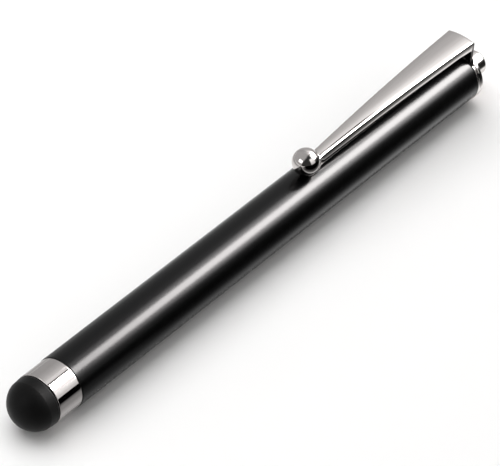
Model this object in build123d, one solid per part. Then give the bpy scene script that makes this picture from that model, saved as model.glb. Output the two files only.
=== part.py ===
from build123d import *
import os

# Stylus pen with a rubber dome tip and a sprung pocket clip. Sizes are in millimetres.
# X runs along the pen from the tip to the finial and Z points to the clip.
# The origin is on the pen's axis, in the middle of the grip.

# Barrel: one straight lacquered tube
barrel_length = 94.8
barrel_d = 8.5
barrel_bore_share = 0.835
barrel_edge_round = 0.3
grip_behind_front = 27.0

# Ferrule: chrome collar with a spigot that centres it in the barrel
ferrule_length = 4.7
ferrule_below_barrel = 0.07
ferrule_edge_round = 0.3
spigot_length = 2.0

# Tip dome: hollow rubber hemisphere on a short skirt, with a lip that snaps over the clamp screw's head.
# The skirt loses a little radius for each millimetre towards the tip, which leaves an edge round the dome.
dome_below_ferrule = 0.03
dome_skirt = 0.7
dome_taper = 0.077
dome_wall = 0.9
dome_lip = 0.8
dome_edge_round = 0.3

# Tip core: slotted clamp screw inside the dome
core_shank_share = 0.56
core_head_thick = 0.9
core_nose_d = 3.0
core_nose_round_share = 0.5
core_slot_width = 0.7
core_slot_depth = 0.6
core_in_bush = 7.0
tip_push_room = 1.2

# Threaded inserts in the two ends of the barrel
front_bush_length = 9.0
rear_plug_length = 10.0
stud_d = 2.0
stud_in_plug = 7.0
stud_in_finial = 2.6
stud_chamfer = 0.25
drill_allowance = 0.6

# Clip: washer, flange and arm are one piece of metal, and a ball is set on the arm's free end
clip_washer_proud = 0.1
clip_sheet = 0.5
clip_head_thick = 1.97
clip_tip_thick = 1.69
clip_under_above_barrel = 2.02
clip_head_width = 4.8
clip_tip_width = 1.88
clip_bow = 0.47
clip_edge_round = 0.25
clip_bend_round = 0.6
flange_foot_round = 0.4
clip_ball_d = 4.4
clip_ball_before_rear = 38.9
arm_under_ball_centre = 1.9

# End ring and finial
end_ring_proud = 0.1
end_ring_thick = 0.75
end_ring_round = 0.2
finial_d = 4.3
finial_length = 4.15
finial_round = 0.7

# Clearances
glue_gap = 0.02
thread_gap = 0.03
rubber_gap = 0.05
core_side_gap = 0.3
ball_gap = 0.1
split_gap = 0.08

# Stations along the axis, from the tip to the finial
barrel_front = -grip_behind_front
barrel_rear = barrel_front + barrel_length
ferrule_front = barrel_front - ferrule_length
dome_rear = ferrule_front - rubber_gap
dome_centre = dome_rear - dome_skirt
lip_front = dome_rear - dome_lip
spigot_end = barrel_front + spigot_length
washer_rear = barrel_rear + clip_sheet
ring_rear = washer_rear + end_ring_thick
finial_rear = ring_rear + finial_length

# Diameters, bores and seats that follow from the sizes above
ferrule_d = barrel_d - 2 * ferrule_below_barrel
dome_d = ferrule_d - 2 * dome_below_ferrule
dome_cavity_d = dome_d - 2 * dome_wall
clip_washer_d = barrel_d + 2 * clip_washer_proud
end_ring_d = barrel_d + 2 * end_ring_proud
barrel_bore_d = barrel_bore_share * barrel_d
insert_d = barrel_bore_d - 2 * glue_gap
core_shank_d = core_shank_share * barrel_bore_d
core_hole_d = core_shank_d + 2 * thread_gap
stud_hole_d = stud_d + 2 * thread_gap

# Clip ball and arm heights above the axis
ball_x = barrel_rear - clip_ball_before_rear
ball_z = barrel_d / 2 + ball_gap + clip_ball_d / 2
arm_front_under = ball_z - arm_under_ball_centre
arm_rear_under = barrel_d / 2 + clip_under_above_barrel
clip_top = arm_rear_under + clip_head_thick

# How closely an edge has to lie at a named station to be picked for rounding
match = 1e-4


def rod(x_start, x_end, diameter):
    """Round bar on the pen's axis between two stations."""
    bar = Cylinder(diameter / 2, x_end - x_start, align=(Align.CENTER, Align.CENTER, Align.MIN))
    return Pos(x_start, 0, 0) * Rot(0, 90, 0) * bar


def front_dome(x_centre, diameter):
    """Half ball on the pen's axis that bulges towards the tip."""
    half_ball = Sphere(diameter / 2, arc_size1=0, align=(Align.CENTER, Align.CENTER, Align.MIN))
    return Pos(x_centre, 0, 0) * Rot(0, -90, 0) * half_ball


def rims(solid, x_station, diameter):
    """Circular edges of a turned piece at one station and diameter."""
    return [
        edge
        for edge in solid.edges().filter_by(GeomType.CIRCLE)
        if abs(edge.arc_center.X - x_station) < match and abs(2 * edge.radius - diameter) < match
    ]


def make_tip_dome():
    """Hollow rubber dome on a tapered skirt, with an inward lip at its foot."""
    dome_length = dome_skirt + dome_d / 2
    cone = Cone(
        dome_d / 2, dome_d / 2 - dome_taper * dome_length, dome_length, align=(Align.CENTER, Align.CENTER, Align.MIN)
    )
    cone = Pos(dome_rear, 0, 0) * Rot(0, -90, 0) * cone
    cone = fillet(rims(cone, dome_rear, dome_d), dome_edge_round)
    outside = front_dome(dome_centre, dome_d) + rod(dome_centre, dome_rear, dome_d)
    hollow = front_dome(dome_centre, dome_cavity_d) + rod(dome_centre, dome_rear, dome_cavity_d)
    hollow -= rod(lip_front, dome_rear, dome_d)
    lip_hole = rod(lip_front, dome_rear, core_shank_d + 2 * rubber_gap)
    return (outside & cone) - hollow - lip_hole


def make_tip_core():
    """Clamp screw: slotted nose, head that the dome's lip snaps over, and threaded shank."""
    head_rear = lip_front - rubber_gap
    head_front = head_rear - core_head_thick
    head_d = dome_cavity_d - 2 * core_side_gap
    head = front_dome(dome_centre, head_d) + rod(dome_centre, dome_rear, head_d)
    head &= rod(head_front, head_rear, dome_d)
    nose_tip = dome_centre - dome_cavity_d / 2 + tip_push_room
    nose = rod(nose_tip, head_front, core_nose_d)
    nose = fillet(rims(nose, nose_tip, core_nose_d), core_nose_round_share * (head_front - nose_tip))
    slot = Box(core_slot_depth, core_nose_d, core_slot_width, align=(Align.MIN, Align.CENTER, Align.CENTER))
    nose -= Pos(nose_tip, 0, 0) * slot
    return nose + head + rod(head_rear, spigot_end + core_in_bush, core_shank_d)


def make_ferrule():
    """Chrome collar with rounded rims, bored for the clamp screw."""
    collar = rod(ferrule_front, barrel_front, ferrule_d)
    outer_rims = rims(collar, ferrule_front, ferrule_d) + rims(collar, barrel_front, ferrule_d)
    collar = fillet(outer_rims, ferrule_edge_round)
    collar += rod(barrel_front, spigot_end, insert_d)
    return collar - rod(ferrule_front, spigot_end, core_hole_d)


def make_front_bush():
    """Threaded bush behind the ferrule's spigot."""
    bush_end = spigot_end + front_bush_length
    return rod(spigot_end, bush_end, insert_d) - rod(spigot_end, bush_end, core_hole_d)


def make_barrel():
    """Straight tube with softened outer rims."""
    tube = rod(barrel_front, barrel_rear, barrel_d)
    outer_rims = rims(tube, barrel_front, barrel_d) + rims(tube, barrel_rear, barrel_d)
    tube = fillet(outer_rims, barrel_edge_round)
    return tube - rod(barrel_front, barrel_rear, barrel_bore_d)


def make_rear_plug():
    """Plug in the barrel's rear end, flush with it, with a blind threaded hole."""
    plug = rod(barrel_rear - rear_plug_length, barrel_rear, insert_d)
    return plug - rod(barrel_rear - stud_in_plug - drill_allowance, barrel_rear, stud_hole_d)


def make_finial_stud():
    """Threaded stud from the rear plug into the finial."""
    stud_front = barrel_rear - stud_in_plug
    stud_rear = ring_rear + stud_in_finial
    stud = rod(stud_front, stud_rear, stud_d)
    return chamfer(rims(stud, stud_front, stud_d) + rims(stud, stud_rear, stud_d), stud_chamfer)


def arm_side(grow):
    """Bowed side outline of the clip's arm with its bend, pulled out by a margin all round."""
    front_under = (ball_x - grow, arm_front_under - grow)
    front_top = (ball_x - grow, arm_front_under + clip_tip_thick + grow)
    rear_under = (washer_rear + grow, arm_rear_under - grow)
    rear_top = (washer_rear + grow, clip_top + grow)
    with BuildSketch(Plane.XZ) as outline:
        with BuildLine():
            SagittaArc(front_top, rear_top, clip_bow)
            Line(rear_top, rear_under)
            SagittaArc(front_under, rear_under, clip_bow)
            Line(front_under, front_top)
        make_face()
        fillet(outline.vertices().group_by(Axis.X)[-1].sort_by(Axis.Y)[-1], clip_bend_round)
    return outline.sketch


def arm_plan(grow):
    """Tapered plan of the clip's arm."""
    front = ball_x - grow
    rear = washer_rear + grow
    tip_half = clip_tip_width / 2 + grow
    head_half = clip_head_width / 2 + grow
    corners = [(front, -tip_half), (rear, -head_half), (rear, head_half), (front, tip_half)]
    with BuildSketch(Plane.XY) as outline:
        with BuildLine():
            Polyline(*corners, close=True)
        make_face()
    return outline.sketch


def arm_strip(grow):
    """Bowed and tapered strip of the clip's arm, before its edges are rounded."""
    wide = extrude(arm_side(grow), clip_head_width, both=True)
    tall = extrude(arm_plan(grow), 2 * clip_top)
    return wide & tall


def make_clip_arm():
    """Clip arm from the bend over the flange to its free end inside the ball."""
    strip = arm_strip(0)
    along_y = strip.faces().sort_by(Axis.Y)
    side_edges = [
        edge
        for side in (along_y[0], along_y[-1])
        for edge in side.edges()
        if edge.center().X > ball_x + match
    ]
    return fillet(side_edges, clip_edge_round)


def make_clip_ball():
    """Ball with a blind slot for the arm's free end."""
    ball = Pos(ball_x, 0, ball_z) * Sphere(clip_ball_d / 2)
    return ball - arm_strip(glue_gap)


def make_clip_root():
    """Clip washer on the barrel's end with the flange that stands up from it."""
    flange_top = arm_rear_under - split_gap
    with BuildSketch(Plane.YZ.offset(barrel_rear)) as outline:
        Circle(clip_washer_d / 2)
        Rectangle(clip_head_width, flange_top, align=(Align.CENTER, Align.MIN))
        fillet(outline.vertices().group_by(Axis.Y)[-2], flange_foot_round)
        Circle(stud_hole_d / 2, mode=Mode.SUBTRACT)
    root = extrude(outline.sketch, clip_sheet)
    rear_outline = root.faces().sort_by(Axis.X)[-1].outer_wire().edges()
    below_bend = rear_outline.filter_by(lambda edge: edge.center().Z < flange_top - match)
    return fillet(below_bend, clip_edge_round)


def make_end_ring():
    """Chrome ring behind the clip's washer, with rounded rims."""
    ring = rod(washer_rear, ring_rear, end_ring_d)
    ring = fillet(rims(ring, washer_rear, end_ring_d) + rims(ring, ring_rear, end_ring_d), end_ring_round)
    return ring - rod(washer_rear, ring_rear, stud_hole_d)


def make_finial():
    """Chrome knob with a rounded end and a blind threaded hole for the stud."""
    knob = rod(ring_rear, finial_rear, finial_d)
    knob = fillet(rims(knob, finial_rear, finial_d), finial_round)
    return knob - rod(ring_rear, ring_rear + stud_in_finial + drill_allowance, stud_hole_d)


pieces = {
    "tip_dome": make_tip_dome,
    "tip_core": make_tip_core,
    "ferrule": make_ferrule,
    "front_bush": make_front_bush,
    "barrel": make_barrel,
    "rear_plug": make_rear_plug,
    "finial_stud": make_finial_stud,
    "clip_root": make_clip_root,
    "clip_arm": make_clip_arm,
    "clip_ball": make_clip_ball,
    "end_ring": make_end_ring,
    "finial": make_finial,
}

os.makedirs("parts", exist_ok=True)
for name, make in pieces.items():
    export_step(make(), f"parts/{name}.step")
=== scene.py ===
import math

import bmesh
import bpy
from mathutils import Matrix, Vector


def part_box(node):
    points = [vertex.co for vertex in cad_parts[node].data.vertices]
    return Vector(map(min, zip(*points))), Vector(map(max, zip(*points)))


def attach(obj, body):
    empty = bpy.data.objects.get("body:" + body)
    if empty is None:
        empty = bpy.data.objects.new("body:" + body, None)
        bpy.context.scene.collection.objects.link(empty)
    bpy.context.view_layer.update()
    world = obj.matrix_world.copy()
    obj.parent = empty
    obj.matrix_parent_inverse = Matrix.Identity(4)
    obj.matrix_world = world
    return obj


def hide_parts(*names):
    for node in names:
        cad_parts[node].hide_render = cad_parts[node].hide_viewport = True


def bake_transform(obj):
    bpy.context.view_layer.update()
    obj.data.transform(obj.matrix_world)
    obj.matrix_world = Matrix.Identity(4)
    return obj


# Looks of a stylus pen with a rubber dome tip and a sprung pocket clip. Sizes are in millimetres, in the
# solids' frame: X runs along the pen from the tip to the finial, Z points to the clip, and the camera stands
# on the side of -Y.

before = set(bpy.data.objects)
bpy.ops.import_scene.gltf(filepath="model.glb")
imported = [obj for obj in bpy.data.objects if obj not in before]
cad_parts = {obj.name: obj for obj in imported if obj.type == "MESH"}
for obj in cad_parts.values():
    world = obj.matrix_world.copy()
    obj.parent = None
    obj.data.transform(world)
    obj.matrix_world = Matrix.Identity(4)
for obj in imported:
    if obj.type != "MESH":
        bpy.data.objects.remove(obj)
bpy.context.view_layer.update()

MM = 0.001
X = 0
Z = 2


def extent(node, axis):
    """Lowest and highest place of a solid along one axis, in millimetres."""
    low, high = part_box(node)
    return low[axis] / MM, high[axis] / MM


def radius(node):
    """Radius of a solid that is round the pen's axis, in millimetres."""
    return -extent(node, Z)[0]


def metres(point):
    """Point in metres, as Blender takes it, from one in millimetres."""
    return Vector(point) * MM


def round_axis(station, reach, deg):
    """Point at a reach from the pen's axis, at an angle from straight up towards the back."""
    turn = math.radians(deg)
    return station, reach * math.sin(turn), reach * math.cos(turn)


# Stations along the axis, from the tip to the finial
DOME_APEX, DOME_REAR = extent("tip_dome", X)
FERRULE_FRONT, SPIGOT_END = extent("ferrule", X)
BARREL_FRONT, BARREL_REAR = extent("barrel", X)
WASHER_REAR = extent("clip_root", X)[1]
RING_REAR = extent("end_ring", X)[1]
FINIAL_REAR = extent("finial", X)[1]

# Outer radii, and the bores that leave a small gap round what they hold
FERRULE_R = radius("ferrule")
BARREL_R = radius("barrel")
RING_R = radius("end_ring")
FINIAL_R = radius("finial")
INSERT_R = radius("front_bush")
GLUE_GAP = 0.02
THREAD_GAP = 0.03
RUBBER_GAP = 0.05
BORE_R = INSERT_R + GLUE_GAP
CORE_SHANK_SHARE = 0.56
CORE_SHANK_R = CORE_SHANK_SHARE * BORE_R
CORE_HOLE_R = CORE_SHANK_R + THREAD_GAP
LIP_HOLE_R = CORE_SHANK_R + RUBBER_GAP
STUD_HOLE_R = radius("finial_stud") + THREAD_GAP

# Turned pieces: steps round the axis and round an edge, the angle from which an edge stays sharp, the
# distance at which two points are one, and the rounds of the rims
LATHE_STEPS = 192
EDGE_STEPS = 6
SHARP_DEG = 40
SAME_POINT = 0.0001
RIM_ROUND = 0.12
WASHER_FRONT_ROUND = 0.08
WASHER_REAR_ROUND = 0.22
RING_ROUND = 0.2
FINIAL_ROUND = 0.7
FINIAL_HOLE_DEPTH = 3.2

# A straight run longer than LONG_RUN gets a point at HOLD from both of its ends, so that smooth shading
# leaves it straight
LONG_RUN = 0.2
HOLD = 0.04

# Rubber dome: a hollow ball on a skirt that loses DOME_TAPER of radius for each millimetre towards the tip.
# It is squashed between its foot and DOME_STIFF_REACH in front of its centre.
DOME_BELOW_FERRULE = 0.03
DOME_R = FERRULE_R - DOME_BELOW_FERRULE
DOME_CENTRE = DOME_APEX + DOME_R
DOME_TAPER = 0.077
DOME_WALL = 0.9
DOME_LIP = 0.8
DOME_FOOT_ROUND = 0.3
DOME_STEPS = 40
DOME_SHARP_DEG = 8

# Ball at the clip's free end, and the fillet where the arm flows into it
BALL_X = extent("clip_arm", X)[0]
BALL_BOTTOM, BALL_TOP = extent("clip_ball", Z)
BALL_Z = (BALL_BOTTOM + BALL_TOP) / 2
BALL_R = (BALL_TOP - BALL_BOTTOM) / 2
BALL_SEGMENTS = 96
BALL_RINGS = 64
BALL_FILLET = 0.3
BALL_FILLET_LENGTH = 0.5
BALL_FILLET_SHARE = 0.93
BALL_FILLET_FOOT = BALL_X + BALL_FILLET_SHARE * BALL_R

# Clip: its tip is in the ball and its head is at the bend. Thickness is in the middle, over the crown.
CLIP_HEAD_WIDTH = 4.8
CLIP_TIP_WIDTH = 1.88
CLIP_HEAD_THICK = 1.97
CLIP_TIP_THICK = 1.79
CLIP_BOW = 0.47
BEND_R = 0.6
INNER_BEND_R = 0.4
ROOT_TOP_Z = extent("clip_root", Z)[1]
SPLIT_OVER_ROOT = 0.08
HEAD_UNDER_Z = ROOT_TOP_Z + SPLIT_OVER_ROOT
TIP_BELOW_SOLID = 0.1
TIP_UNDER_Z = extent("clip_arm", Z)[0] - TIP_BELOW_SOLID

# Clip's cross-section: lower rounds, full sides that lean in at both edges, top rounds, and a crown whose
# edges lean by CROWN_LEAN. The crown grows over the first BEND_CROWN_SHARE of the bend.
LOWER_ROUND = 0.15
LOWER_SIDE_LEAN = math.radians(10)
HEAD_SIDE_LEAN = math.radians(1.5)
TIP_SIDE_LEAN = math.radians(12)
HEAD_TOP_ROUND = 0.2
TIP_TOP_ROUND = 0.42
CROWN_LEAN = math.radians(13)
BEND_CROWN_SHARE = 0.4
CROWN_STEPS = 24

# Clip's flange: it starts inside the washer, flares down to it, and stays SKIN inside the washer's faces, so
# that no two faces lie in one plane
FLANGE_FOOT_Z = 2.6
FOOT_FILLET = 0.4
FOOT_FILLET_TOP_Z = 4.1
SKIN = 0.01
FLANGE_STEPS = 14
BEND_STEPS = 12
ARM_STEPS = 60

# Camera at the photograph's angle, with its turn in degrees
CAMERA_AT = (-333.1, -258.7, 379.2)
CAMERA_TURN = (48.869, -2.85, -50.981)
CAMERA_LENS = 277.6
CAMERA_SHIFT = (-0.001, 0.001)
CAMERA_NEAR = 10
SENSOR_WIDTH = 36.0

# Floor and surroundings
FLOOR_Z = -RING_R
FLOOR_HALF = 3000
FLOOR_COLOUR = "#F4F4F4"
WORLD_COLOUR = "#C4C3C2"

# Softboxes that face the axis from above the camera's side: a narrow bright one, and two wider and dimmer
# ones that let the highlight along the barrel fade to both sides
SOFTBOX_COLOUR = "#FFFBFA"
SOFTBOXES = {
    "key_softbox": {"place": round_axis(410, 400, -27.5), "along": 380, "across": 177, "radiance": 34.5},
    "second_softbox": {"place": round_axis(396, 330, -26), "along": 340, "across": 270, "radiance": 5.0},
    "third_softbox": {"place": round_axis(396, 330, -25), "along": 340, "across": 385, "radiance": 3.0},
}

# Panel overhead for the floor and the matt surfaces, panel by the tip that only shows in reflections, and the
# watts that a lamp needs for each square metre at a radiance of one
TOP_PANEL = {"place": (20, 220, 560), "along": 700, "across": 700, "radiance": 1.7}
SIDE_PANEL = {"place": (-390, 117, 252), "along": 280, "across": 180, "radiance": 2.5}
WATTS_PER_RADIANCE = 4

# Tent over the pen that glows with painted reflections, in five parts along it. It is no cloth lit by the
# lamps:
# its levels are painted light and shade that show in reflections only. Each part has (angle, level) stops,
# with the angle from straight up towards the back in degrees, and the stretch along the pen over which it
# takes over.
TENT_REACH = 420
TENT_ENDS = (-3000, 900)
TENT_SPAN = (-89, 150)
TENT_STEPS = 48
TENT_TOP_LEVEL = 8.0
TENT_CAMERA_SIDE = [(-89, 0.05), (-18, 0.05), (-6, 0.58), (150, 0.62)]
TENT_TIP = [
    (-89, 0.8), (-70, 1.0), (-58, 1.5), (-46, 1.75), (-40, 1.5), (-34, 0.06), (-14, 0.06), (-2, 0.58),
    (90, 0.62), (150, 0.6)]
TENT_MIDDLE = [
    (-89, 0.8), (-70, 1.0), (-58, 1.5), (-46, 1.75), (-36, 2.3), (-15, 2.3), (-13.5, 0.3), (-7.5, 0.3),
    (-6, 1.3), (2, 1.14), (14, 0.87), (26, 0.69), (38, 0.6), (50, 0.53), (150, 0.5)]
TENT_FAR_SIDE = [(29, 0.98), (34, 0.86), (40, 0.78), (50, 0.7), (58, 0.62), (150, 0.5)]
TENT_REAR = [
    (-89, 0.05), (-70, 0.1), (-62, 0.8), (-54, 2.5), (-46, 3.0), (-36, 2.3), (-17, 2.4), (-15, 0.05),
    (11, 0.05), (13, 1.4), (19, 1.3), (24, 1.15)] + TENT_FAR_SIDE
TENT_HEAD = [
    (-89, 0.05), (-68, 0.1), (-62, 0.6), (-54, 6.0), (-50, 8.0), (-4, 8.0), (3, 6.0), (8, 3.0), (13, 1.75),
    (19, 1.42), (24, 1.18)] + TENT_FAR_SIDE
TENT_PARTS = (
    (TENT_CAMERA_SIDE, None),
    (TENT_TIP, (-60, -20)),
    (TENT_MIDDLE, (90, 200)),
    (TENT_REAR, (265, 272)),
    (TENT_HEAD, (300, 330)),
)

# Cards on the floor in front of the pen and behind it, which glow with painted light and shade. Their levels
# stand in for the lit and shaded floor and for dark reflections, and they show in reflections only. They have
# (y, z) profiles, and parts along the pen with (y, level) stops and the stretch over which each takes over
CARD_ENDS = (-60, 220)
CARD_TOP_LEVEL = 2.0
FRONT_CARD = [(-90, 20), (-32, -4.2), (-4.6, -4.2)]
FRONT_CARD_TIP = [
    (-90, 0.0), (-32, 0.0), (-26, 0.12), (-15, 0.34), (-10, 0.38), (-7.7, 0.52), (-6.2, 0.62), (-5, 0.58),
    (-4.6, 0.45)]
FRONT_CARD_MIDDLE = [
    (-90, 0.0), (-25, 0.0), (-20, 0.02), (-13, 0.1), (-10, 0.2), (-7.7, 0.6), (-6.2, 0.8), (-5, 0.7),
    (-4.6, 0.55)]
FRONT_CARD_HEAD = [
    (-90, 0.0), (-25, 0.0), (-20, 0.03), (-13, 0.15), (-10, 0.28), (-7.7, 1.1), (-6.2, 1.7), (-5, 1.4),
    (-4.6, 1.1)]
FRONT_CARD_END = [(-90, 0.0), (-8, 0.05), (-4.6, 0.3)]
FRONT_CARD_PARTS = (
    (FRONT_CARD_TIP, None),
    (FRONT_CARD_MIDDLE, (-13, 3)),
    (FRONT_CARD_HEAD, (0, 60)),
    (FRONT_CARD_END, (79, 83)),
)
BACK_CARD = [(10, -4.2), (200, -4.2)]
BACK_CARD_TIP = [(10, 0.75), (30, 0.5), (200, 0.5)]
BACK_CARD_HEAD = [(10, 1.2), (22, 1.1), (40, 0.6), (200, 0.5)]
BACK_CARD_PARTS = (
    (BACK_CARD_TIP, None),
    (BACK_CARD_HEAD, (-10, 15)),
)


def linear(hex_colour, alpha=1.0):
    """Linear colour for a shader socket from an sRGB hex value."""
    channels = [int(hex_colour[i:i + 2], 16) / 255 for i in (1, 3, 5)]
    return [c / 12.92 if c <= 0.04045 else ((c + 0.055) / 1.055) ** 2.4 for c in channels] + [alpha]


def add_node(tree, kind, inputs=None, **settings):
    """Adds one shader node with its settings, its input values and its links."""
    made = tree.nodes.new(kind)
    for key, value in settings.items():
        setattr(made, key, value)
    for key, value in (inputs or {}).items():
        if isinstance(value, bpy.types.NodeSocket):
            tree.links.new(value, made.inputs[key])
        else:
            made.inputs[key].default_value = value
    return made


def new_material(name):
    """Empty node material with its output node."""
    material = bpy.data.materials.new(name)
    material.use_nodes = True
    material.node_tree.nodes.clear()
    return material, material.node_tree, material.node_tree.nodes.new("ShaderNodeOutputMaterial")


def per_mm(size):
    """Texture scale at which one pattern step has this size in millimetres."""
    return 1 / (size * MM)


def chrome_plate(name, streak_axis):
    """Polished chrome plate: mirror bright and a little warm, with faint polishing streaks along one axis."""
    # Real polishing streaks are hundredths of a millimetre wide, so these are drawn coarser to show
    streak_width = 0.18
    streak_length = 9.0
    material, tree, output = new_material(name)
    place = add_node(tree, "ShaderNodeTexCoord")
    stretch = [per_mm(streak_width)] * 3
    stretch[streak_axis] = per_mm(streak_length)
    drawn = add_node(tree, "ShaderNodeMapping", {"Vector": place.outputs["Object"], "Scale": stretch})
    streaks = add_node(tree, "ShaderNodeTexNoise", {
        "Vector": drawn.outputs["Vector"], "Scale": 1.0, "Detail": 3.0})
    tone = add_node(tree, "ShaderNodeMix", {
        "Factor": streaks.outputs["Fac"], "A": linear("#BDB8B6"), "B": linear("#C9C5C3")}, data_type="RGBA")
    rough = add_node(tree, "ShaderNodeMapRange", {
        "Value": streaks.outputs["Fac"], "To Min": 0.03, "To Max": 0.07})
    relief = add_node(tree, "ShaderNodeBump", {
        "Height": streaks.outputs["Fac"], "Strength": 0.04, "Distance": 0.01 * MM})
    shader = add_node(tree, "ShaderNodeBsdfPrincipled", {
        "Base Color": tone.outputs["Result"], "Metallic": 1.0, "Roughness": rough.outputs["Result"],
        "Normal": relief.outputs["Normal"]})
    tree.links.new(shader.outputs["BSDF"], output.inputs["Surface"])
    return material


def sprayed_lacquer():
    """Sprayed black lacquer: deep black under a soft gloss, with a faint orange peel."""
    # A lacquer's IOR is about 1.5, and it is lowered here to match the weaker gloss of this pen
    peel = 1.2
    material, tree, output = new_material("sprayed_black_lacquer")
    place = add_node(tree, "ShaderNodeTexCoord")
    skin = add_node(tree, "ShaderNodeTexNoise", {
        "Vector": place.outputs["Object"], "Scale": per_mm(peel), "Detail": 2.0})
    tone = add_node(tree, "ShaderNodeMix", {
        "Factor": skin.outputs["Fac"], "A": linear("#030303"), "B": linear("#050506")}, data_type="RGBA")
    rough = add_node(tree, "ShaderNodeMapRange", {
        "Value": skin.outputs["Fac"], "To Min": 0.215, "To Max": 0.235})
    relief = add_node(tree, "ShaderNodeBump", {
        "Height": skin.outputs["Fac"], "Strength": 0.008, "Distance": 0.01 * MM})
    shader = add_node(tree, "ShaderNodeBsdfPrincipled", {
        "Base Color": tone.outputs["Result"], "Roughness": rough.outputs["Result"], "IOR": 1.26,
        "Normal": relief.outputs["Normal"]})
    tree.links.new(shader.outputs["BSDF"], output.inputs["Surface"])
    return material


def moulded_rubber():
    """Moulded black silicone rubber: dry and matt, with a fine grain and patches that dust makes lighter."""
    # The real grain is too fine to show, so it is drawn coarser. Silicone's IOR is about 1.4, and it is
    # lowered here because the dry surface hardly shines.
    grain = 0.16
    patch = 1.8
    material, tree, output = new_material("moulded_silicone_rubber")
    place = add_node(tree, "ShaderNodeTexCoord")
    fine = add_node(tree, "ShaderNodeTexNoise", {
        "Vector": place.outputs["Object"], "Scale": per_mm(grain), "Detail": 2.0})
    broad = add_node(tree, "ShaderNodeTexNoise", {
        "Vector": place.outputs["Object"], "Scale": per_mm(patch), "Detail": 2.0})
    tone = add_node(tree, "ShaderNodeMix", {
        "Factor": broad.outputs["Fac"], "A": linear("#030303"), "B": linear("#060606")}, data_type="RGBA")
    rough = add_node(tree, "ShaderNodeMapRange", {
        "Value": fine.outputs["Fac"], "To Min": 0.5, "To Max": 0.58})
    relief = add_node(tree, "ShaderNodeBump", {
        "Height": fine.outputs["Fac"], "Strength": 0.12, "Distance": 0.03 * MM})
    shader = add_node(tree, "ShaderNodeBsdfPrincipled", {
        "Base Color": tone.outputs["Result"], "Roughness": rough.outputs["Result"], "IOR": 1.18,
        "Sheen Weight": 0.16, "Sheen Roughness": 0.4, "Normal": relief.outputs["Normal"]})
    tree.links.new(shader.outputs["BSDF"], output.inputs["Surface"])
    return material


def turned_metal(name, light, dark, pitch):
    """Lathe-turned inner metal: a satin tone with lines round the axis, at the pitch of its thread."""
    waves_at_scale_one = 20 / (2 * math.pi)
    material, tree, output = new_material(name)
    place = add_node(tree, "ShaderNodeTexCoord")
    lines = add_node(tree, "ShaderNodeTexWave", {
        "Vector": place.outputs["Object"], "Scale": per_mm(pitch) / waves_at_scale_one, "Distortion": 0.6,
        "Detail": 2.0}, bands_direction="X")
    tone = add_node(tree, "ShaderNodeMix", {
        "Factor": lines.outputs["Fac"], "A": linear(dark), "B": linear(light)}, data_type="RGBA")
    rough = add_node(tree, "ShaderNodeMapRange", {
        "Value": lines.outputs["Fac"], "To Min": 0.24, "To Max": 0.36})
    shader = add_node(tree, "ShaderNodeBsdfPrincipled", {
        "Base Color": tone.outputs["Result"], "Metallic": 1.0, "Roughness": rough.outputs["Result"]})
    tree.links.new(shader.outputs["BSDF"], output.inputs["Surface"])
    return material


def add_object(name, data):
    """New object in the scene."""
    made = bpy.data.objects.new(name, data)
    bpy.context.scene.collection.objects.link(made)
    return made


def bridge(mesh, here, there):
    """Closed band of faces between two rings of points."""
    count = len(here)
    for i in range(count):
        j = (i + 1) % count
        mesh.faces.new((here[i], here[j], there[j], there[i]))


def spin(mesh, outline):
    """Adds a closed outline of (station, radius) points to a mesh, spun round the pen's axis."""
    rings = []
    for step in range(LATHE_STEPS):
        deg = 360 * step / LATHE_STEPS
        rings.append([mesh.verts.new(metres(round_axis(x, r, deg))) for x, r in outline])
    for here, there in zip(rings, rings[1:] + rings[:1]):
        bridge(mesh, here, there)


def piece_from(name, mesh, sharp_deg=SHARP_DEG):
    """Scene object from a bmesh, smooth with sharp edges kept."""
    bmesh.ops.recalc_face_normals(mesh, faces=mesh.faces)
    data = bpy.data.meshes.new(name)
    mesh.to_mesh(data)
    mesh.free()
    data.shade_smooth()
    data.set_sharp_from_angle(angle=math.radians(sharp_deg))
    return add_object(name, data)


def between(here, there, share):
    """Point at a share of the way between two points of an outline."""
    return here[0] + (there[0] - here[0]) * share, here[1] + (there[1] - here[1]) * share


def held(outline):
    """Outline with a point close to both ends of each long straight run."""
    points = []
    for here, there in zip(outline, outline[1:] + outline[:1]):
        points.append(here)
        run = math.dist(here, there)
        if run > LONG_RUN:
            points.append(between(here, there, HOLD / run))
            points.append(between(here, there, 1 - HOLD / run))
    return points


def turned(name, outline, sharp_deg=SHARP_DEG):
    """Turned piece from a closed outline of (station, radius) points."""
    mesh = bmesh.new()
    spin(mesh, held(outline))
    bmesh.ops.remove_doubles(mesh, verts=mesh.verts, dist=SAME_POINT * MM)
    return piece_from(name, mesh, sharp_deg)


def front_corner(x, r, round_r):
    """Rounded outer corner that faces the tip, from its flat side to its round side."""
    points = []
    for step in range(EDGE_STEPS + 1):
        turn = math.pi / 2 * step / EDGE_STEPS
        points.append((x + round_r * (1 - math.cos(turn)), r - round_r * (1 - math.sin(turn))))
    return points


def rear_corner(x, r, round_r):
    """Rounded outer corner that faces the finial, from its round side to its flat side."""
    return [(2 * x - front_x, front_r) for front_x, front_r in reversed(front_corner(x, r, round_r))]


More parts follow.
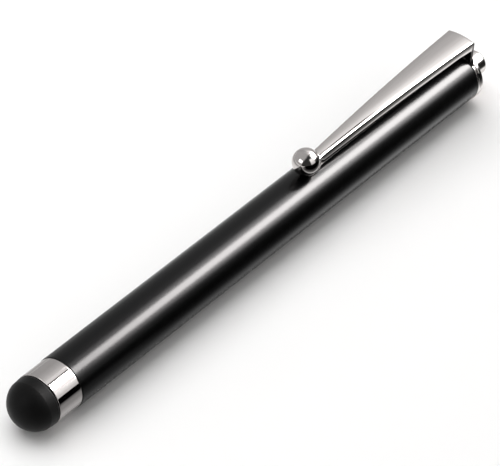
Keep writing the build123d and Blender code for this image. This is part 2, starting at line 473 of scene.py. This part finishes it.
def dome_outline():
    """Hollow rubber dome: the ball's outside, the tapered skirt, the foot, the lip and the hollow."""
    # The skirt's cone meets the ball where (reach - skirt)^2 + (DOME_R - DOME_TAPER * reach)^2 = DOME_R^2,
    # with the reach from the dome's foot
    skirt = DOME_REAR - DOME_CENTRE
    lean = DOME_R * DOME_TAPER + skirt
    stretch = 1 + DOME_TAPER ** 2
    reach = (lean + math.sqrt(lean ** 2 - stretch * skirt ** 2)) / stretch
    edge_turn = math.acos((reach - skirt) / DOME_R)
    lip_front = DOME_REAR - DOME_LIP
    hollow_r = DOME_R - DOME_WALL
    lip_turn = math.acos((DOME_CENTRE - lip_front) / hollow_r)
    outside = []
    hollow = []
    for step in range(DOME_STEPS + 1):
        turn = edge_turn * step / DOME_STEPS
        outside.append((DOME_CENTRE - DOME_R * math.cos(turn), DOME_R * math.sin(turn)))
        turn = lip_turn * (1 - step / DOME_STEPS)
        hollow.append((DOME_CENTRE - hollow_r * math.cos(turn), hollow_r * math.sin(turn)))
    foot = rear_corner(DOME_REAR, DOME_R - DOME_FOOT_ROUND * DOME_TAPER, DOME_FOOT_ROUND)
    lip = [(DOME_REAR, LIP_HOLE_R), (lip_front, LIP_HOLE_R)]
    return outside + foot + lip + hollow


def ferrule_outline():
    """Collar with rounded rims, its spigot and its bore."""
    points = [(FERRULE_FRONT, CORE_HOLE_R)]
    points += front_corner(FERRULE_FRONT, FERRULE_R, RIM_ROUND)
    points += rear_corner(BARREL_FRONT, FERRULE_R, RIM_ROUND)
    points += [(BARREL_FRONT, INSERT_R), (SPIGOT_END, INSERT_R), (SPIGOT_END, CORE_HOLE_R)]
    return points


def tube_outline():
    """Barrel tube with softened outer rims."""
    points = [(BARREL_FRONT, BORE_R)]
    points += front_corner(BARREL_FRONT, BARREL_R, RIM_ROUND)
    points += rear_corner(BARREL_REAR, BARREL_R, RIM_ROUND)
    points += [(BARREL_REAR, BORE_R)]
    return points


def ring_outline(front, rear, front_round, rear_round):
    """Flat ring with rounded rims and the stud's hole."""
    points = [(front, STUD_HOLE_R)]
    points += front_corner(front, RING_R, front_round)
    points += rear_corner(rear, RING_R, rear_round)
    points += [(rear, STUD_HOLE_R)]
    return points


def finial_outline():
    """Knob with a rounded end and its blind hole."""
    hole_end = RING_REAR + FINIAL_HOLE_DEPTH
    points = [(RING_REAR, STUD_HOLE_R), (RING_REAR, FINIAL_R)]
    points += rear_corner(FINIAL_REAR, FINIAL_R, FINIAL_ROUND)
    points += [(FINIAL_REAR, 0.0), (hole_end, 0.0), (hole_end, STUD_HOLE_R)]
    return points


def bowed(front, rear, share):
    """Point on the clip's bowed line between two (x, z) ends."""
    x, z = between(front, rear, share)
    return x, z + 4 * CLIP_BOW * share * (1 - share)


def along_clip(x, tip, head):
    """Value at a station of the clip that changes evenly from its tip to its head."""
    return tip + (head - tip) * (x - BALL_X) / (WASHER_REAR - BALL_X)


def clip_stations():
    """Stations from the flange's foot over the bend to the ball: outer and inner point, width, crown lean."""
    rear = WASHER_REAR - SKIN
    front = BARREL_REAR + SKIN
    bend_z = HEAD_UNDER_Z + CLIP_HEAD_THICK - SKIN - BEND_R
    inner_z = HEAD_UNDER_Z - INNER_BEND_R
    stations = []
    for step in range(FLANGE_STEPS):
        share = step / FLANGE_STEPS
        outer_z = FLANGE_FOOT_Z + (bend_z - FLANGE_FOOT_Z) * share
        z = FLANGE_FOOT_Z + (inner_z - FLANGE_FOOT_Z) * share
        depth = min(max(FOOT_FILLET_TOP_Z - z, 0.0), FOOT_FILLET)
        flare = FOOT_FILLET - math.sqrt(FOOT_FILLET ** 2 - depth ** 2)
        stations.append(((rear, outer_z), (front, z), CLIP_HEAD_WIDTH + 2 * flare, 0.0))
    for step in range(BEND_STEPS + 1):
        turn = math.pi / 2 * step / BEND_STEPS
        outer = (rear - BEND_R * (1 - math.cos(turn)), bend_z + BEND_R * math.sin(turn))
        inner = (front - INNER_BEND_R * (1 - math.cos(turn)), inner_z + INNER_BEND_R * math.sin(turn))
        lean = CROWN_LEAN * min(1.0, step / (BEND_STEPS * BEND_CROWN_SHARE))
        stations.append((outer, inner, CLIP_HEAD_WIDTH, lean))
    top_rear, under_rear = outer, inner
    top_front = (BALL_X, TIP_UNDER_Z + CLIP_TIP_THICK)
    under_front = (BALL_X, TIP_UNDER_Z)
    for step in range(1, ARM_STEPS + 1):
        share = 1 - step / ARM_STEPS
        outer = bowed(top_front, top_rear, share)
        inner = bowed(under_front, under_rear, share)
        width = along_clip(outer[0], CLIP_TIP_WIDTH, CLIP_HEAD_WIDTH)
        stations.append((outer, inner, width, CROWN_LEAN))
    return stations


def clip_section(x, width, thick, lean):
    """Cross-section of the clip as (across, up) points: three arcs up each side and a crown over them."""
    round_r = along_clip(x, TIP_TOP_ROUND, HEAD_TOP_ROUND)
    crown = (width / 2 - round_r * (1 - math.sin(lean))) * math.tan(lean) / 2
    edge_z = thick - crown
    low = math.pi / 2 + LOWER_SIDE_LEAN
    high = math.pi / 2 - along_clip(x, TIP_SIDE_LEAN, HEAD_SIDE_LEAN)
    side_height = edge_z - LOWER_ROUND * (1 + math.cos(low)) - round_r * (math.cos(lean) - math.cos(high))
    side_r = side_height / (math.cos(high) - math.cos(low))
    place = (width / 2 - side_r * (1 - math.sin(low)) - LOWER_ROUND * math.sin(low), 0.0)
    side = [place]
    for arc_r, first, last, steps in (
        (LOWER_ROUND, math.pi, low, EDGE_STEPS),
        (side_r, low, high, EDGE_STEPS),
        (round_r, high, lean, 2 * EDGE_STEPS),
    ):
        start = place
        for step in range(1, steps + 1):
            turn = first + (last - first) * step / steps
            place = (
                start[0] + arc_r * (math.sin(turn) - math.sin(first)),
                start[1] + arc_r * (math.cos(turn) - math.cos(first)))
            side.append(place)
    crown_half = place[0]
    top = []
    for step in range(1, CROWN_STEPS):
        across = crown_half * (1 - 2 * step / CROWN_STEPS)
        top.append((across, edge_z + crown * (1 - (across / crown_half) ** 2)))
    return side + top + [(-y, z) for y, z in reversed(side)]


def ball_fillet(x):
    """How far the arm widens to each side where it flows into the ball."""
    near = 1 - (x - BALL_FILLET_FOOT) / BALL_FILLET_LENGTH
    return BALL_FILLET * min(max(near, 0.0), 1.0) ** 2


def make_clip():
    """One bent piece of metal: the washer under the end ring, the flange, the bend and the crowned arm."""
    mesh = bmesh.new()
    rings = []
    for outer, inner, width, lean in clip_stations():
        low = Vector((inner[0], 0, inner[1]))
        rise = Vector((outer[0], 0, outer[1])) - low
        up = rise.normalized()
        section = clip_section(outer[0], width + 2 * ball_fillet(outer[0]), rise.length, lean)
        rings.append([mesh.verts.new(metres(low + up * z + Vector((0, y, 0)))) for y, z in section])
    for here, there in zip(rings, rings[1:]):
        bridge(mesh, here, there)
    mesh.faces.new(rings[0])
    mesh.faces.new(list(reversed(rings[-1])))
    spin(mesh, ring_outline(BARREL_REAR, WASHER_REAR, WASHER_FRONT_ROUND, WASHER_REAR_ROUND))
    return piece_from("chrome_clip", mesh)


def make_ball():
    """Polished ball at the clip's free end."""
    mesh = bmesh.new()
    bmesh.ops.create_uvsphere(mesh, u_segments=BALL_SEGMENTS, v_segments=BALL_RINGS, radius=BALL_R * MM)
    bmesh.ops.translate(mesh, verts=mesh.verts, vec=metres((BALL_X, 0, BALL_Z)))
    return piece_from("chrome_ball", mesh)


def dress(piece, material):
    """Gives a piece its finish."""
    piece.data.materials.append(material)


def build_pen():
    """Every shown piece of the pen with its finish, and the turned pieces and the ball with the body that
    they move with.
    """
    rubber = moulded_rubber()
    lacquer = sprayed_lacquer()
    round_chrome = chrome_plate("polished_chrome_turned", 1)
    long_chrome = chrome_plate("polished_chrome_drawn", 0)
    brass = turned_metal("turned_brass", "#D8B878", "#B08D4C", 0.7)
    steel = turned_metal("rolled_steel_thread", "#B4B6B9", "#85878B", 0.4)

    dome = turned("rubber_dome", dome_outline(), DOME_SHARP_DEG)
    dress(dome, rubber)
    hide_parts("tip_dome")
    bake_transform(dome)

    end_ring = ring_outline(WASHER_REAR, RING_REAR, RING_ROUND, RING_ROUND)
    for name, outline, material, slot, node in (
        ("chrome_collar", ferrule_outline(), round_chrome, "chrome", "ferrule"),
        ("lacquered_tube", tube_outline(), lacquer, "lacquer", "barrel"),
        ("chrome_ring", end_ring, round_chrome, "chrome", "end_ring"),
        ("chrome_finial", finial_outline(), round_chrome, "chrome", "finial"),
    ):
        piece = turned(name, outline)
        dress(piece, material)
        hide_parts(node)
        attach(piece, "pen")

    clip = make_clip()
    dress(clip, long_chrome)
    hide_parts("clip_root", "clip_arm")
    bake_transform(clip)

    ball = make_ball()
    dress(ball, round_chrome)
    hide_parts("clip_ball")
    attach(ball, "clip")

    inner_pieces = {"tip_core": brass, "front_bush": brass, "rear_plug": brass, "finial_stud": steel}
    for node, material in inner_pieces.items():
        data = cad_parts[node].data
        data.materials.clear()
        data.materials.append(material)


def ramp_between(tree, value, stops, top):
    """Level from a value by (value, level) stops, as a share of the top level."""
    low, high = stops[0][0], stops[-1][0]
    share = add_node(tree, "ShaderNodeMapRange", {"Value": value, "From Min": low, "From Max": high})
    ramp = add_node(tree, "ShaderNodeValToRGB", {"Fac": share.outputs["Result"]})
    marks = ramp.color_ramp.elements
    while len(marks) < len(stops):
        marks.new(0.5)
    for mark, (place, level) in zip(marks, stops):
        mark.position = (place - low) / (high - low)
        mark.color = [level / top] * 3 + [1.0]
    return ramp.outputs["Color"]


def degrees_round(tree, axes):
    """Reading of the tent: the angle from straight up towards the back, in degrees."""
    turn = add_node(tree, "ShaderNodeMath", {0: axes.outputs["Y"], 1: axes.outputs["Z"]}, operation="ARCTAN2")
    return add_node(tree, "ShaderNodeMath", {0: turn.outputs["Value"]}, operation="DEGREES").outputs["Value"]


def millimetres_across(tree, axes):
    """Reading of a card: the place across the pen, in millimetres."""
    across = add_node(tree, "ShaderNodeMath", {0: axes.outputs["Y"], 1: 1 / MM}, operation="MULTIPLY")
    return across.outputs["Value"]


def painted_light_material(name, reading, parts, top):
    """Glowing sheet of painted light and shade: a level by a reading of the place, fading from part to part
    along X.
    """
    material, tree, output = new_material(name)
    place = add_node(tree, "ShaderNodeTexCoord")
    axes = add_node(tree, "ShaderNodeSeparateXYZ", {"Vector": place.outputs["Object"]})
    value = reading(tree, axes)
    painted_glow = None
    for stops, fade in parts:
        part = ramp_between(tree, value, stops, top)
        if painted_glow is None:
            painted_glow = part
            continue
        along = add_node(tree, "ShaderNodeMapRange", {
            "Value": axes.outputs["X"], "From Min": fade[0] * MM, "From Max": fade[1] * MM},
            interpolation_type="SMOOTHSTEP")
        mixed = add_node(tree, "ShaderNodeMix", {
            "Factor": along.outputs["Result"], "A": painted_glow, "B": part}, data_type="RGBA")
        painted_glow = mixed.outputs["Result"]
    glow = add_node(tree, "ShaderNodeEmission", {"Color": painted_glow, "Strength": top})
    tree.links.new(glow.outputs["Emission"], output.inputs["Surface"])
    return material


def reflected_sheet(name, ends, profile, material):
    """Sheet along the pen from a profile of (y, z) points. It shows in reflections only."""
    corners = []
    faces = []
    for i, (y, z) in enumerate(profile):
        corners += [metres((x, y, z)) for x in ends]
        if i:
            faces.append((2 * i - 2, 2 * i - 1, 2 * i + 1, 2 * i))
    data = bpy.data.meshes.new(name)
    data.from_pydata(corners, [], faces)
    data.shade_smooth()
    data.materials.append(material)
    made = add_object(name, data)
    made.visible_camera = False
    made.visible_diffuse = False
    made.visible_shadow = False


def painted_light_tent():
    """Glowing tunnel of painted reflections over the pen: dark behind the camera, bright by the softboxes."""
    first, last = TENT_SPAN
    turns = [first + (last - first) * step / TENT_STEPS for step in range(TENT_STEPS + 1)]
    profile = [round_axis(0, TENT_REACH, deg)[1:] for deg in turns]
    painted_glow = painted_light_material("painted_reflection_tent", degrees_round, TENT_PARTS, TENT_TOP_LEVEL)
    reflected_sheet("painted_light_tent", TENT_ENDS, profile, painted_glow)


def painted_reflection_cards():
    """Bent card in front of the pen and flat card behind it, glowing with painted light and shade of the
    floor.
    """
    for name, profile, parts in (
        ("front_painted_reflection", FRONT_CARD, FRONT_CARD_PARTS),
        ("back_painted_reflection", BACK_CARD, BACK_CARD_PARTS),
    ):
        card_glow = painted_light_material(name, millimetres_across, parts, CARD_TOP_LEVEL)
        reflected_sheet(name, CARD_ENDS, profile, card_glow)


def softbox(name, target, place, along, across, radiance):
    """Rectangular lamp that faces a target, with its length level."""
    lamp = bpy.data.lights.new(name, "AREA")
    lamp.shape = "RECTANGLE"
    lamp.size = along * MM
    lamp.size_y = across * MM
    lamp.energy = WATTS_PER_RADIANCE * radiance * lamp.size * lamp.size_y
    back = (Vector(place) - Vector(target)).normalized()
    right = Vector((0, 0, 1)).cross(back).normalized()
    turn = Matrix((right, back.cross(right), back)).transposed().to_4x4()
    made = add_object(name, lamp)
    made.matrix_world = Matrix.Translation(metres(place)) @ turn
    return made


def studio_lamps():
    """Softboxes and side panel for the gloss, and a top panel for the floor and the matt surfaces."""
    for name, values in SOFTBOXES.items():
        lamp = softbox(name, (values["place"][0], 0, 0), **values)
        lamp.data.color = linear(SOFTBOX_COLOUR)[:3]
        lamp.visible_diffuse = False
    top = softbox("top_panel", (TOP_PANEL["place"][0], 0, 0), **TOP_PANEL)
    top.visible_glossy = False
    side = softbox("side_panel", (BALL_X, 0, BALL_Z), **SIDE_PANEL)
    side.visible_diffuse = False


def paper_floor():
    """Pale floor of matt paper under the pen."""
    sides = (-FLOOR_HALF, FLOOR_HALF)
    data = bpy.data.meshes.new("floor")
    data.from_pydata([metres((x, y, FLOOR_Z)) for y in sides for x in sides], [], [(0, 1, 3, 2)])
    material, tree, output = new_material("matt_paper_floor")
    paper = add_node(tree, "ShaderNodeBsdfDiffuse", {"Color": linear(FLOOR_COLOUR)})
    tree.links.new(paper.outputs["BSDF"], output.inputs["Surface"])
    data.materials.append(material)
    add_object("floor", data)


def grey_surroundings():
    """Even pale grey all round the studio."""
    world = bpy.data.worlds.new("studio_grey")
    bpy.context.scene.world = world
    world.use_nodes = True
    world.node_tree.nodes["Background"].inputs["Color"].default_value = linear(WORLD_COLOUR)


def place_camera():
    """Camera that sees the pen as the photograph does."""
    lens = bpy.data.cameras.new("camera")
    lens.lens = CAMERA_LENS
    lens.sensor_width = SENSOR_WIDTH
    lens.sensor_fit = "HORIZONTAL"
    lens.shift_x, lens.shift_y = CAMERA_SHIFT
    lens.clip_start = CAMERA_NEAR * MM
    camera = add_object("camera", lens)
    camera.location = metres(CAMERA_AT)
    camera.rotation_euler = [math.radians(deg) for deg in CAMERA_TURN]
    bpy.context.scene.camera = camera


def set_stage():
    """Pale floor, studio lamps, glowing tent and cards of painted reflections, grey surroundings and the
    camera.
    """
    paper_floor()
    studio_lamps()
    painted_light_tent()
    painted_reflection_cards()
    grey_surroundings()
    place_camera()
    bpy.context.scene.view_settings.view_transform = "Standard"


build_pen()
set_stage()
bpy.context.view_layer.update()
